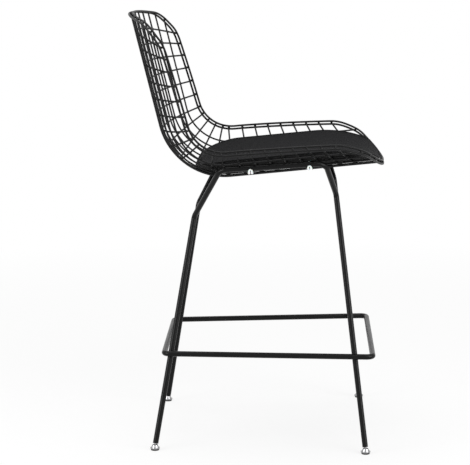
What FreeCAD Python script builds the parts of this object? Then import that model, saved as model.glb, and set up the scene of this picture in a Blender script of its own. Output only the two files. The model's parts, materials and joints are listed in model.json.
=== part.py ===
import FreeCAD, Part
import math
import os

# Wire counter stool, millimetres. +Z is up, the floor is Z = 0, the front of the seat is toward -Y
# and X runs across it. The shell is one swept surface: a middle line (straight back, round bend,
# straight seat) carries the same round cross profile all along, and every wire lies on that surface
# or at a set distance from it. "s" is the length along the middle line, from the top of the back.

Vec = FreeCAD.Vector

SIZES = [
    ("back_lean", 13.5, "lean of the back from upright, degrees"),
    ("seat_rise", 5.1, "rise of the seat toward its front, degrees"),
    ("bend_radius", 156.0, "radius of the middle line between back and seat"),
    ("corner_y", 192.8, "meeting point of the back and seat lines, Y"),
    ("corner_z", 595.4, "meeting point of the back and seat lines, height"),
    ("back_length", 400.5, "meeting point to the top edge"),
    ("seat_length", 487.5, "meeting point to the front edge"),
    ("profile_radius", 475.0, "radius of the cross profile"),
    ("half_width", 259.5, "half width of the outline on the surface"),
    ("widest_at", 422.0, "place on the middle line where the outline is widest"),
    ("side_radius", 3000.0, "bow of the outline's sides"),
    ("top_radius", 800.0, "bow of the top edge"),
    ("top_corner", 97.0, "top corner radius"),
    ("front_radius", 510.0, "bow of the front edge"),
    ("front_corner", 92.0, "front corner radius"),
    ("mesh_wire", 4.0, "diameter of the mesh wires"),
    ("rim_wire", 4.8, "diameter of the rim wires"),
    ("weld_gap", 0.1, "space left for the weld between crossing wires"),
    ("long_pitch", 33.0, "spacing of the lengthwise wires"),
    ("cross_first", 40.0, "first cross wire from the top edge"),
    ("cross_back", 39.2, "cross wire spacing on the back"),
    ("cross_bend", 41.4, "cross wire spacing in the bend"),
    ("cross_last", 60.0, "last cross wire to the front edge"),
    ("fan_top", 33.0, "tilt of the first cross wire's plane, degrees"),
    ("fan_front", 36.0, "tilt of the last cross wire's plane, degrees"),
    ("fan_top_ease", 2.8, "how late the fan opens toward the top"),
    ("fan_front_ease", 1.0, "how late the fan opens toward the front"),
    ("leg_rod", 12.7, "side frame rod diameter"),
    ("rail_half", 203.0, "seat rail to the middle plane"),
    ("rail_rear", 79.0, "rear bend of the seat rail, Y"),
    ("rail_rear_z", 643.4, "rear bend of the seat rail, height"),
    ("rail_front", -156.0, "front bend of the seat rail, Y"),
    ("rail_front_z", 656.9, "front bend of the seat rail, height"),
    ("rail_bend", 26.0, "bend radius at the rail ends"),
    ("waist_bend", 16.0, "bend radius at the waist"),
    ("waist_rear_half", 96.0, "rear waist bend to the middle plane"),
    ("waist_rear_y", 144.0, "rear waist bend, Y"),
    ("waist_rear_z", 522.0, "rear waist bend, height"),
    ("waist_front_half", 120.0, "front waist bend to the middle plane"),
    ("waist_front_y", -181.6, "front waist bend, Y"),
    ("waist_front_z", 575.0, "front waist bend, height"),
    ("foot_rear_half", 219.0, "rear foot to the middle plane"),
    ("foot_rear_y", 234.7, "rear foot, Y"),
    ("foot_front_half", 251.0, "front foot to the middle plane"),
    ("foot_front_y", -245.0, "front foot, Y"),
    ("ring_rod", 12.7, "footrest ring rod diameter"),
    ("ring_z", 217.0, "footrest ring height"),
    ("ring_reach", 28.0, "how far the ring's front bar stands before the front legs"),
    ("ring_back", 2.5, "how far the ring's rear bar stands behind the rear legs"),
    ("ring_corner", 15.0, "ring corner radius"),
    ("ball", 9.0, "glide ball diameter"),
    ("neck", 5.0, "glide stem neck diameter"),
    ("shank", 6.0, "glide stem shank diameter"),
    ("shank_length", 14.0, "glide stem inside the leg"),
    ("leg_clear", 6.6, "ball centre to the leg's end"),
    ("socket_gap", 0.35, "running gap round the ball"),
    ("cap_dome", 7.2, "glide cap dome radius"),
    ("cap_flange", 22.0, "glide cap flange diameter"),
    ("flange_height", 2.2, "glide cap flange thickness"),
    ("cap_mouth", 60.0, "half angle of the cap's mouth, degrees"),
    ("foot_pad", 19.0, "glide pad diameter"),
    ("foot_pad_height", 4.0, "glide pad thickness"),
    ("clip_length", 10.5, "seat clip along the rail"),
    ("clip_wall", 2.6, "seat clip cheek beside the rail"),
    ("clip_drop", 6.3, "seat clip below the rail"),
    ("clip_lip", -1.5, "height of the cheeks' top over the rail's middle"),
    ("clip_arm", 6.6, "width of the strap that cradles a lengthwise wire"),
    ("clip_slit", 2.0, "slit between the clip's cheeks"),
    ("screw", 2.5, "clip screw diameter"),
    ("pad_rear", 395.5, "seat pad rear edge, along the middle line"),
    ("pad_inset", 3.0, "seat pad edge to the front rim"),
    ("pad_half", 209.0, "seat pad half width on the surface"),
    ("pad_rear_round", 0.26, "share of the pad's length in its rear corners"),
    ("pad_front_round", 0.34, "share of the pad's length in its front corners"),
    ("pad_thick", 19.0, "seat pad thickness at the crown"),
    ("pad_edge", 11.0, "seat pad thickness near its seam"),
    ("pad_gap", 0.7, "seat pad above the wires"),
]

LONG_PAIRS = 7
CROSS_COUNT = 20
CROSS_BACK_LAST = 7
CROSS_BEND_LAST = 13
CLIP_AFTER = (13, 17)
CLIP_SHARE = 0.72

# How far the searches for a wire's place reach, and what counts as straight.
SEARCH_PAST = 10.0
SEARCH_RISE = 2.2
SEARCH_HALF = (0.6, 1.1)
SIDE_ARCS = (0.9, 4.1)
TINY = 1e-9

# Fits: round the rail, round the cradled wire, round screws and stems, between faces that meet, and
# between bonded faces or a nut and its screw. Then the overlap of fused pieces and of cutting tools.
FIT = 0.2
WIRE_FIT = 0.3
SLACK = 0.15
TOUCH = 0.1
CLOSE_FIT = 0.05
INTO = 1.0
CUT_PAST = 1.0

# Small steps of the glides, and the screws' proportions in screw diameters.
BORE_PAST = 1.5
COLLAR_STEP = 0.8
COLLAR_LENGTH = 1.5
SKIRT_STEP = 1.0
SKIRT_SHARE = 0.86
FLOOR_CHAMFER = 0.8
HEAD_RADIUS = 0.9
HEAD_HEIGHT = 0.6
NUT_HEIGHT = 0.7
STALK_PAST = 1.1

doc = FreeCAD.newDocument("wire_stool")
sheet = doc.addObject("Spreadsheet::Sheet", "sizes")
for row, (alias, value, note) in enumerate(SIZES, 1):
    sheet.set("A%d" % row, alias)
    sheet.set("B%d" % row, "%g" % value)
    sheet.set("C%d" % row, note)
    sheet.setAlias("B%d" % row, alias)
doc.recompute()
G = {alias: float(sheet.get(alias)) for alias, value, note in SIZES}
RAD = {alias: math.radians(G[alias]) for alias in ("back_lean", "seat_rise", "fan_top", "fan_front")}

finished = []


def keep(obj, label):
    """Give a finished sub-part its node name."""
    obj.Label = label
    finished.append(obj)
    return obj


# The shell's surface.

def add2(a, b, k=1.0):
    return (a[0] + k * b[0], a[1] + k * b[1])


def dot2(a, b):
    return a[0] * b[0] + a[1] * b[1]


DOWN_BACK = (-math.sin(RAD["back_lean"]), -math.cos(RAD["back_lean"]))
ALONG_SEAT = (-math.cos(RAD["seat_rise"]), math.sin(RAD["seat_rise"]))
OFF_BACK = (-math.cos(RAD["back_lean"]), math.sin(RAD["back_lean"]))
OFF_SEAT = (math.sin(RAD["seat_rise"]), math.cos(RAD["seat_rise"]))
TURN = math.pi / 2 - RAD["back_lean"] + RAD["seat_rise"]
BEND = G["bend_radius"]
TANGENT = BEND * math.tan(TURN / 2)
CORNER = (G["corner_y"], G["corner_z"])
BEND_FROM = add2(CORNER, DOWN_BACK, -TANGENT)
BEND_TO = add2(CORNER, ALONG_SEAT, TANGENT)
BEND_CENTRE = add2(BEND_FROM, OFF_BACK, BEND)
S_BEND = G["back_length"] - TANGENT
S_SEAT = S_BEND + BEND * TURN
S_END = S_SEAT + G["seat_length"] - TANGENT
PROFILE = G["profile_radius"]


def turned(s):
    """Angle turned from the back's direction at s."""
    return min(max((s - S_BEND) / BEND, 0.0), TURN)


def line_at(s):
    """Point, direction and sitter-side normal of the middle line at s, in (Y, Z)."""
    a = turned(s)
    c, n = math.cos(a), math.sin(a)
    along = (DOWN_BACK[0] * c + OFF_BACK[0] * n, DOWN_BACK[1] * c + OFF_BACK[1] * n)
    off = (OFF_BACK[0] * c - DOWN_BACK[0] * n, OFF_BACK[1] * c - DOWN_BACK[1] * n)
    if s < S_BEND:
        point = add2(BEND_FROM, DOWN_BACK, s - S_BEND)
    elif s > S_SEAT:
        point = add2(BEND_TO, ALONG_SEAT, s - S_SEAT)
    else:
        point = add2(BEND_CENTRE, off, -BEND)
    return point, along, off


def foot_of(q):
    """Length s and height over the middle line of a point q in (Y, Z)."""
    from_back = add2(q, BEND_FROM, -1.0)
    if dot2(from_back, DOWN_BACK) <= 0.0:
        return S_BEND + dot2(from_back, DOWN_BACK), dot2(from_back, OFF_BACK)
    from_seat = add2(q, BEND_TO, -1.0)
    if dot2(from_seat, ALONG_SEAT) >= 0.0:
        return S_SEAT + dot2(from_seat, ALONG_SEAT), dot2(from_seat, OFF_SEAT)
    arm = add2(q, BEND_CENTRE, -1.0)
    angle = math.atan2(dot2(arm, DOWN_BACK), -dot2(arm, OFF_BACK))
    return S_BEND + BEND * angle, BEND - math.hypot(arm[0], arm[1])


def height(x, lift):
    """Height of the layer "lift" above the surface (toward the sitter), over the middle line."""
    return PROFILE - math.sqrt((PROFILE - lift) ** 2 - x * x)


def spot(s, x, lift=0.0):
    """Space point over the surface point (s, x), moved by lift along the surface normal."""
    sine = x / PROFILE
    radius = PROFILE - lift
    point, along, off = line_at(s)
    q = add2(point, off, PROFILE - radius * math.sqrt(1.0 - sine * sine))
    return Vec(radius * sine, q[0], q[1])


def bisect(function, low, high, steps=60):
    rising = function(high) > 0.0
    for i in range(steps):
        middle = 0.5 * (low + high)
        if (function(middle) > 0.0) == rising:
            high = middle
        else:
            low = middle
    return 0.5 * (low + high)


# The outline, drawn on the surface in (s, x): five tangent arcs a side.

SIDE_CENTRE = (G["widest_at"], G["half_width"] - G["side_radius"])


def corner_centre(edge_centre, edge_radius, corner, sign):
    """Centre of the arc that joins an end edge (centred on x = 0) to the bowed side."""
    a, b = edge_radius - corner, G["side_radius"] - corner
    gap = (SIDE_CENTRE[0] - edge_centre, SIDE_CENTRE[1])
    length = math.hypot(gap[0], gap[1])
    reach = (a * a - b * b + length * length) / (2.0 * length)
    rise = math.sqrt(a * a - reach * reach)
    unit = (gap[0] / length, gap[1] / length)
    return (edge_centre + reach * unit[0] + sign * rise * unit[1],
            reach * unit[1] - sign * rise * unit[0])


TOP_CENTRE = G["top_radius"]
FRONT_CENTRE = S_END - G["front_radius"]
TOP_CORNER = corner_centre(TOP_CENTRE, G["top_radius"], G["top_corner"], 1.0)
FRONT_CORNER = corner_centre(FRONT_CENTRE, G["front_radius"], G["front_corner"], -1.0)
if TOP_CORNER[1] < 0.0:
    TOP_CORNER = corner_centre(TOP_CENTRE, G["top_radius"], G["top_corner"], -1.0)
if FRONT_CORNER[1] < 0.0:
    FRONT_CORNER = corner_centre(FRONT_CENTRE, G["front_radius"], G["front_corner"], 1.0)


def bearing(centre, point):
    return math.atan2(point[1] - centre[1], point[0] - centre[0])


top_turn = bearing((TOP_CENTRE, 0.0), TOP_CORNER)
top_side = bearing(SIDE_CENTRE, TOP_CORNER)
front_turn = bearing((FRONT_CENTRE, 0.0), FRONT_CORNER)
front_side = bearing(SIDE_CENTRE, FRONT_CORNER)
OUTLINE = [
    ((TOP_CENTRE, 0.0), G["top_radius"], math.pi, top_turn),
    (TOP_CORNER, G["top_corner"], top_turn, top_side),
    (SIDE_CENTRE, G["side_radius"], top_side, front_side),
    (FRONT_CORNER, G["front_corner"], front_side, front_turn),
    ((FRONT_CENTRE, 0.0), G["front_radius"], front_turn, 0.0),
]
OUTLINE_STEPS = (2, 3, 9, 3, 2)


def outline_at(q, inset=0.0):
    """Outline point (s, x) on the +X half; q counts the five arcs, 0 at the top to 5 at the front."""
    index = min(int(q), 4)
    centre, radius, start, stop = OUTLINE[index]
    angle = start + (stop - start) * (q - index)
    reach = radius - inset
    return centre[0] + reach * math.cos(angle), centre[1] + reach * math.sin(angle)


def edge_s(x, from_q, to_q):
    """Where a lengthwise line at x meets the top or front edge."""
    q = bisect(lambda v: outline_at(v)[1] - x, from_q, to_q)
    return outline_at(q)[0]


def side_x(s, inset=0.0, last=SIDE_ARCS[1]):
    """Half width of the outline at s, on the side or in a corner."""
    q = bisect(lambda v: outline_at(v, inset)[0] - s, SIDE_ARCS[0], last)
    return outline_at(q, inset)[1]


# Centre lines as tangent arcs, and round rods along them.

def biarc(start, start_dir, end, end_dir):
    """Two tangent arcs between two points with given directions."""
    chord = end.sub(start)
    both = start_dir.add(end_dir)
    spread = 2.0 * (1.0 - start_dir.dot(end_dir))
    along = chord.dot(both)
    if spread < TINY:
        reach = chord.dot(chord) / (2.0 * along)
    else:
        reach = (math.sqrt(along * along + spread * chord.dot(chord)) - along) / spread
    first = start.add(start_dir * reach)
    second = end.sub(end_dir * reach)
    joint = first.add(second) * 0.5
    return [arc(start, first, joint), arc(joint, second, end)]


def arc(start, pole, end):
    """Arc from start to end whose end tangents meet at pole."""
    weight = end.sub(start).Length / (2.0 * pole.sub(start).Length)
    if weight > 1.0 - TINY:
        return Part.makeLine(start, end)
    middle = start.add(end).add(pole * (2.0 * weight)) * (1.0 / (2.0 + 2.0 * weight))
    return Part.Arc(start, middle, end).toShape()


def filleted(corners, radii, closed=False):
    """Straight runs joined by tangent arcs."""
    count = len(corners)
    ends = []
    for i in range(count):
        if not closed and i in (0, count - 1):
            ends.append((corners[i], corners[i]))
            continue
        before = (corners[i - 1] - corners[i]).normalize()
        after = (corners[(i + 1) % count] - corners[i]).normalize()
        half = 0.5 * before.getAngle(after)
        reach = radii[i] / math.tan(half)
        ends.append((corners[i] + before * reach, corners[i] + after * reach))
    edges = []
    for i in range(count):
        if closed or i not in (0, count - 1):
            edges.append(arc(ends[i][0], corners[i], ends[i][1]))
        if closed or i < count - 1:
            edges.append(Part.makeLine(ends[i][1], ends[(i + 1) % count][0]))
    return edges


def rod(name, edges, alias):
    """A round rod: a circle bound to its size, swept along a centre line."""
    spine = doc.addObject("Part::Feature", name + "_line")
    spine.Shape = Part.Wire(Part.__sortEdges__(edges))
    first = spine.Shape.Edges[0]
    at = first.valueAt(first.FirstParameter)
    way = first.tangentAt(first.FirstParameter)
    ring = doc.addObject("Part::Circle", name + "_section")
    ring.setExpression("Radius", "sizes.%s / 2" % alias)
    ring.Placement = FreeCAD.Placement(at, FreeCAD.Rotation(Vec(0, 0, 1), way))
    sweep = doc.addObject("Part::Sweep", name)
    sweep.Sections = [ring]
    sweep.Spine = (spine, [])
    sweep.Solid = True
    sweep.Frenet = False
    sweep.Transition = "Transformed"
    return sweep


# Lengthwise wires, on the outside of the cross wires.

HALF_MESH = 0.5 * G["mesh_wire"]
CROSS_LIFT = HALF_MESH + 0.5 * G["weld_gap"]
LONG_LIFT = -CROSS_LIFT
RIM_STEP = HALF_MESH + 0.5 * G["rim_wire"] + G["weld_gap"]
END_PAST = 0.3 * G["rim_wire"]


def long_line(x):
    """A lengthwise wire: straight, bend, straight, in one upright plane."""
    start = edge_s(abs(x), 0.0, 2.0) - END_PAST
    stop = edge_s(abs(x), 5.0, 3.0) + END_PAST
    rise = height(x, LONG_LIFT)

    def at(s):
        point, along, off = line_at(s)
        q = add2(point, off, rise)
        return Vec(x, q[0], q[1])

    middle = 0.5 * (S_BEND + S_SEAT)
    bend = Part.Arc(at(S_BEND), at(middle), at(S_SEAT)).toShape()
    return [Part.makeLine(at(start), at(S_BEND)), bend, Part.makeLine(at(S_SEAT), at(stop))]


for number in range(2 * LONG_PAIRS):
    offset = (number - LONG_PAIRS + 0.5) * G["long_pitch"]
    name = "long_wire_%02d" % (number + 1)
    keep(rod(name, long_line(offset), "mesh_wire"), name)


# Cross wires: plane sections of the surface whose planes fan out from the bend.

BEND_LAST_S = (G["cross_first"] + (CROSS_BACK_LAST - 1) * G["cross_back"]
               + (CROSS_BEND_LAST - CROSS_BACK_LAST) * G["cross_bend"])
CROSS_SEAT = (S_END - G["cross_last"] - BEND_LAST_S) / (CROSS_COUNT - CROSS_BEND_LAST)


def cross_centre(number):
    """Middle of cross wire "number" (from 1 at the top) along the middle line."""
    on_back = min(number, CROSS_BACK_LAST) - 1
    in_bend = min(max(number - CROSS_BACK_LAST, 0), CROSS_BEND_LAST - CROSS_BACK_LAST)
    on_seat = max(number - CROSS_BEND_LAST, 0)
    return (G["cross_first"] + on_back * G["cross_back"] + in_bend * G["cross_bend"]
            + on_seat * CROSS_SEAT)


def cross_tilt(number):
    share = 1.0 - 2.0 * (number - 1) / (CROSS_COUNT - 1)
    if share > 0.0:
        return RAD["fan_top"] * share ** G["fan_top_ease"]
    return -RAD["fan_front"] * (-share) ** G["fan_front_ease"]


def cross_spot(number, x, lift=None):
    """Point of a cross wire at x, and its place s on the middle line."""
    lift = CROSS_LIFT if lift is None else lift
    point, along, off = line_at(cross_centre(number))
    tilt = cross_tilt(number)
    way = (off[0] * math.cos(tilt) + along[0] * math.sin(tilt),
           off[1] * math.cos(tilt) + along[1] * math.sin(tilt))
    goal = height(x, lift)
    reach = bisect(lambda r: foot_of(add2(point, way, r))[1] - goal,
                   -SEARCH_PAST, SEARCH_RISE * abs(goal) + SEARCH_PAST)
    q = add2(point, way, reach)
    return Vec(x, q[0], q[1]), foot_of(q)[0]


def cross_way(number, x, step=0.05):
    ahead = cross_spot(number, x + step)[0]
    return ahead.sub(cross_spot(number, x - step)[0]).normalize()


def cross_end(number):
    """Where a cross wire meets the side rim, as (x, s)."""
    low, high = [share * G["half_width"] for share in SEARCH_HALF]
    x = bisect(lambda v: v - side_x(cross_spot(number, v, 0.0)[1]), low, high, 40)
    return x, cross_spot(number, x, 0.0)[1]


CROSS_KNOTS = (0.0, 0.36, 0.7, 1.0)
cross_ends = {}
for number in range(1, CROSS_COUNT + 1):
    cross_ends[number] = cross_end(number)
    reach = (cross_ends[number][0] + END_PAST) * (1.0 - CROSS_LIFT / PROFILE)
    places = [-reach * k for k in reversed(CROSS_KNOTS)] + [reach * k for k in CROSS_KNOTS[1:]]
    edges = []
    for a, b in zip(places[:-1], places[1:]):
        edges += biarc(cross_spot(number, a)[0], cross_way(number, a),
                       cross_spot(number, b)[0], cross_way(number, b))
    name = "cross_wire_%02d" % number
    keep(rod(name, edges, "mesh_wire"), name)


# Two rim wires with the mesh ends between them.

outer_long = (LONG_PAIRS - 0.5) * G["long_pitch"]
TOP_HANDOVER = (edge_s(outer_long, 0.0, 2.0), cross_ends[1][1])
FRONT_HANDOVER = (cross_ends[CROSS_COUNT][1], edge_s(outer_long, 5.0, 3.0))


def eased(value, low, high):
    t = min(max((value - low) / (high - low), 0.0), 1.0)
    return t * t * (3.0 - 2.0 * t)


def held(s):
    """1 where the rims hold lengthwise ends, 0 where they hold cross ends."""
    margin = 0.12
    top_span = TOP_HANDOVER[1] - TOP_HANDOVER[0]
    front_span = FRONT_HANDOVER[1] - FRONT_HANDOVER[0]
    top = 1.0 - eased(s, TOP_HANDOVER[0] + margin * top_span, TOP_HANDOVER[1] - margin * top_span)
    front = eased(s, FRONT_HANDOVER[0] + margin * front_span, FRONT_HANDOVER[1] - margin * front_span)
    return max(top, front)


ARCS = len(OUTLINE)
LOOP = 2.0 * ARCS


def rim_spot(q, side):
    """Rim point; q counts the arcs from the top to the front on +X, and back to the top on -X."""
    returning = q > ARCS
    s, x = outline_at(LOOP - q if returning else q)
    lift = CROSS_LIFT + held(s) * (LONG_LIFT - CROSS_LIFT) + side * RIM_STEP
    point = spot(s, x, lift)
    return Vec(-point.x, point.y, point.z) if returning else point


def rim_line(side):
    half = []
    for index, steps in enumerate(OUTLINE_STEPS):
        half += [index + k / steps for k in range(steps)]
    places = half + [ARCS] + [LOOP - q for q in reversed(half[1:])]
    step = 1e-4

    def way(q):
        ahead = rim_spot((q + step) % LOOP, side)
        return ahead.sub(rim_spot((q - step) % LOOP, side)).normalize()

    edges = []
    for a, b in zip(places, places[1:] + [0.0]):
        edges += biarc(rim_spot(a, side), way(a), rim_spot(b, side), way(b))
    return edges


keep(rod("inner_rim_wire", rim_line(1.0), "rim_wire"), "inner_rim_wire")
keep(rod("outer_rim_wire", rim_line(-1.0), "rim_wire"), "outer_rim_wire")


# Side frames: rail under the shell's flank, waist bends, splayed legs.

HALF_LEG = 0.5 * G["leg_rod"]
BALL_Z = G["foot_pad_height"] + G["socket_gap"] + 0.5 * G["ball"]
FEET = {
    "rear": (G["foot_rear_half"], G["foot_rear_y"]),
    "front": (G["foot_front_half"], G["foot_front_y"]),
}
RAIL_REAR = Vec(G["rail_half"], G["rail_rear"], G["rail_rear_z"])
RAIL_FRONT = Vec(G["rail_half"], G["rail_front"], G["rail_front_z"])
RAIL_WAY = RAIL_FRONT.sub(RAIL_REAR).normalize()


def rail_spot(y):
    """Rail centre at Y = y, for the +X rail."""
    return RAIL_REAR.add(RAIL_WAY * ((y - RAIL_REAR.y) / RAIL_WAY.y))


WAIST = {
    "rear": Vec(G["waist_rear_half"], G["waist_rear_y"], G["waist_rear_z"]),
    "front": Vec(G["waist_front_half"], G["waist_front_y"], G["waist_front_z"]),
}
BALLS = {end: Vec(FEET[end][0], FEET[end][1], BALL_Z) for end in FEET}


def leg_way(end):
    """Direction up a lower leg."""
    return WAIST[end].sub(BALLS[end]).normalize()


def mirrored(point, sign):
    return Vec(sign * point.x, point.y, point.z)


def turned_to(way):
    return FreeCAD.Rotation(Vec(0, 0, 1), way)


def cylinder(name, radius, length, at, way):
    """Round solid from "at" along "way"; radius and length are sheet expressions."""
    solid = doc.addObject("Part::Cylinder", name)
    solid.setExpression("Radius", radius)
    solid.setExpression("Height", length)
    solid.Placement = FreeCAD.Placement(at, turned_to(way))
    return solid


def fused(name, pieces):
    whole = doc.addObject("Part::MultiFuse", name)
    whole.Shapes = pieces
    return whole


def less(name, base, tool):
    cut = doc.addObject("Part::Cut", name)
    cut.Base = base
    cut.Tool = tool
    return cut


def grouped(name, pieces):
    group = doc.addObject("Part::Compound", name)
    group.Links = pieces
    return keep(group, name)


SIDES = (("left", -1.0), ("right", 1.0))
for side, sign in SIDES:
    ends = {end: BALLS[end].add(leg_way(end) * G["leg_clear"]) for end in BALLS}
    corners = [ends["rear"], WAIST["rear"], RAIL_REAR, RAIL_FRONT, WAIST["front"],
               ends["front"]]
    radii = [0, G["waist_bend"], G["rail_bend"], G["rail_bend"], G["waist_bend"], 0]
    bent = rod(side + "_bent_rod", filleted([mirrored(c, sign) for c in corners], radii), "leg_rod")
    bores = []
    for end in BALLS:
        way = mirrored(leg_way(end), sign)
        at = mirrored(ends[end], sign).sub(way * CUT_PAST)
        bores.append(cylinder("%s_%s_bore" % (side, end), "sizes.shank / 2 + %g" % SLACK,
                              "sizes.shank_length + %g" % (CUT_PAST + BORE_PAST), at, way))
    keep(less("side_frame_" + side, bent, fused(side + "_bores", bores)), "side_frame_" + side)


# Footrest ring, welded on the outside of the four legs.

def leg_at(end, z):
    way = leg_way(end)
    return BALLS[end].add(way * ((z - BALL_Z) / way.z))


rear_leg, front_leg = leg_at("rear", G["ring_z"]), leg_at("front", G["ring_z"])
CLEAR = 0.5 * (G["leg_rod"] + G["ring_rod"]) + G["weld_gap"]
SIDE_WAY = front_leg.sub(rear_leg).normalize()


def beside(end):
    """Sideways step from a leg's centre to the ring's side bar that just clears it."""
    return CLEAR / abs(leg_way(end).cross(SIDE_WAY).normalize().x)


side_rear = rear_leg.x + beside("rear")
side_front = front_leg.x + beside("front")
slope = (side_front - side_rear) / (front_leg.y - rear_leg.y)
ring_rear_y = rear_leg.y + CLEAR + G["ring_back"]
ring_front_y = front_leg.y - CLEAR - G["ring_reach"]
rear_x = side_rear + slope * (ring_rear_y - rear_leg.y)
front_x = side_rear + slope * (ring_front_y - rear_leg.y)
ring_corners = [Vec(-rear_x, ring_rear_y, G["ring_z"]), Vec(-front_x, ring_front_y, G["ring_z"]),
                Vec(front_x, ring_front_y, G["ring_z"]), Vec(rear_x, ring_rear_y, G["ring_z"])]
ring = rod("footrest_ring", filleted(ring_corners, [G["ring_corner"]] * 4, True), "ring_rod")
keep(ring, "footrest_ring")


# Self-levelling glides: ball stem in the leg, cap and pad that tilt on the ball.

stems = []
for side, sign in SIDES:
    for end in BALLS:
        place = "%s_%s" % (end, side)
        ball_at = mirrored(BALLS[end], sign)
        way = mirrored(leg_way(end), sign)
        ball = doc.addObject("Part::Sphere", place + "_ball")
        ball.setExpression("Radius", "sizes.ball / 2")
        ball.Placement = FreeCAD.Placement(ball_at, turned_to(way))
        neck = cylinder(place + "_neck", "sizes.neck / 2", "sizes.leg_clear", ball_at, way)
        collar = cylinder(place + "_collar", "sizes.neck / 2 + %g" % COLLAR_STEP, "%g" % COLLAR_LENGTH,
                          ball_at.add(way * (G["leg_clear"] - COLLAR_LENGTH - TOUCH)), way)
        shank = cylinder(place + "_shank", "sizes.shank / 2", "sizes.shank_length + %g" % INTO,
                         ball_at.add(way * (G["leg_clear"] - INTO)), way)
        stems.append(fused(place + "_stem", [ball, neck, collar, shank]))
grouped("glide_stems", stems)

for side, sign in SIDES:
    for end in BALLS:
        place = "%s_%s" % (end, side)
        ball_at = mirrored(BALLS[end], sign)
        under = Vec(ball_at.x, ball_at.y, G["foot_pad_height"] + CLOSE_FIT)
        up = Vec(0, 0, 1)
        flange = cylinder(place + "_flange", "sizes.cap_flange / 2", "sizes.flange_height", under, up)
        dome = doc.addObject("Part::Sphere", place + "_dome")
        dome.setExpression("Radius", "sizes.cap_dome")
        dome.Placement.Base = ball_at
        skirt = doc.addObject("Part::Cone", place + "_skirt")
        skirt.setExpression("Radius1", "sizes.cap_flange / 2 - %g" % SKIRT_STEP)
        skirt.setExpression("Radius2", "sizes.cap_dome * %g" % SKIRT_SHARE)
        skirt.Height = BALL_Z + 0.5 * G["cap_dome"] - under.z - 0.5 * G["flange_height"]
        skirt.Placement.Base = under.add(Vec(0, 0, 0.5 * G["flange_height"]))
        outside = fused(place + "_cap_outside", [flange, dome, skirt])
        socket = doc.addObject("Part::Sphere", place + "_socket")
        socket.setExpression("Radius", "sizes.ball / 2 + sizes.socket_gap")
        socket.Placement.Base = ball_at
        mouth = doc.addObject("Part::Cone", place + "_mouth")
        mouth.Radius1 = 0.0
        mouth.setExpression("Radius2", "2 * sizes.cap_dome * tan(sizes.cap_mouth * 1deg)")
        mouth.setExpression("Height", "2 * sizes.cap_dome")
        mouth.Placement.Base = ball_at
        below = cylinder(place + "_below", "sizes.cap_flange", "sizes.cap_flange", under, Vec(0, 0, -1))
        well = cylinder(place + "_well", "sizes.ball / 2 + sizes.socket_gap",
                        "sizes.ball / 2", under.sub(Vec(0, 0, 0.5 * CUT_PAST)), up)
        inside = fused(place + "_cap_inside", [socket, mouth, below, well])
        keep(less("glide_cap_" + place, outside, inside), "glide_cap_" + place)
        pad = cylinder(place + "_pad_disc", "sizes.foot_pad / 2", "sizes.foot_pad_height",
                       Vec(ball_at.x, ball_at.y, 0), up)
        worn = doc.addObject("Part::Chamfer", "glide_pad_" + place)
        worn.Base = pad
        doc.recompute()
        lowest = [i + 1 for i, e in enumerate(pad.Shape.Edges)
                  if e.BoundBox.ZMax < 0.1 * G["foot_pad_height"] and e.Closed]
        worn.Edges = [(i, FLOOR_CHAMFER, FLOOR_CHAMFER) for i in lowest]
        keep(worn, "glide_pad_" + place)


# Seat clips: nylon saddles on the rail between two cross wires. Behind the rail a strap runs from each
# to the nearest lengthwise wire and cradles it, and a pinch screw closes the slit below the rail.

def block(name, length, width, tall, frame, corner):
    """Box along the clip's own axes (along the rail, across it, up from it)."""
    solid = doc.addObject("Part::Box", name)
    solid.setExpression("Length", length)
    solid.setExpression("Width", width)
    solid.setExpression("Height", tall)
    solid.Placement = frame.multiply(FreeCAD.Placement(corner, FreeCAD.Rotation()))
    return solid


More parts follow.
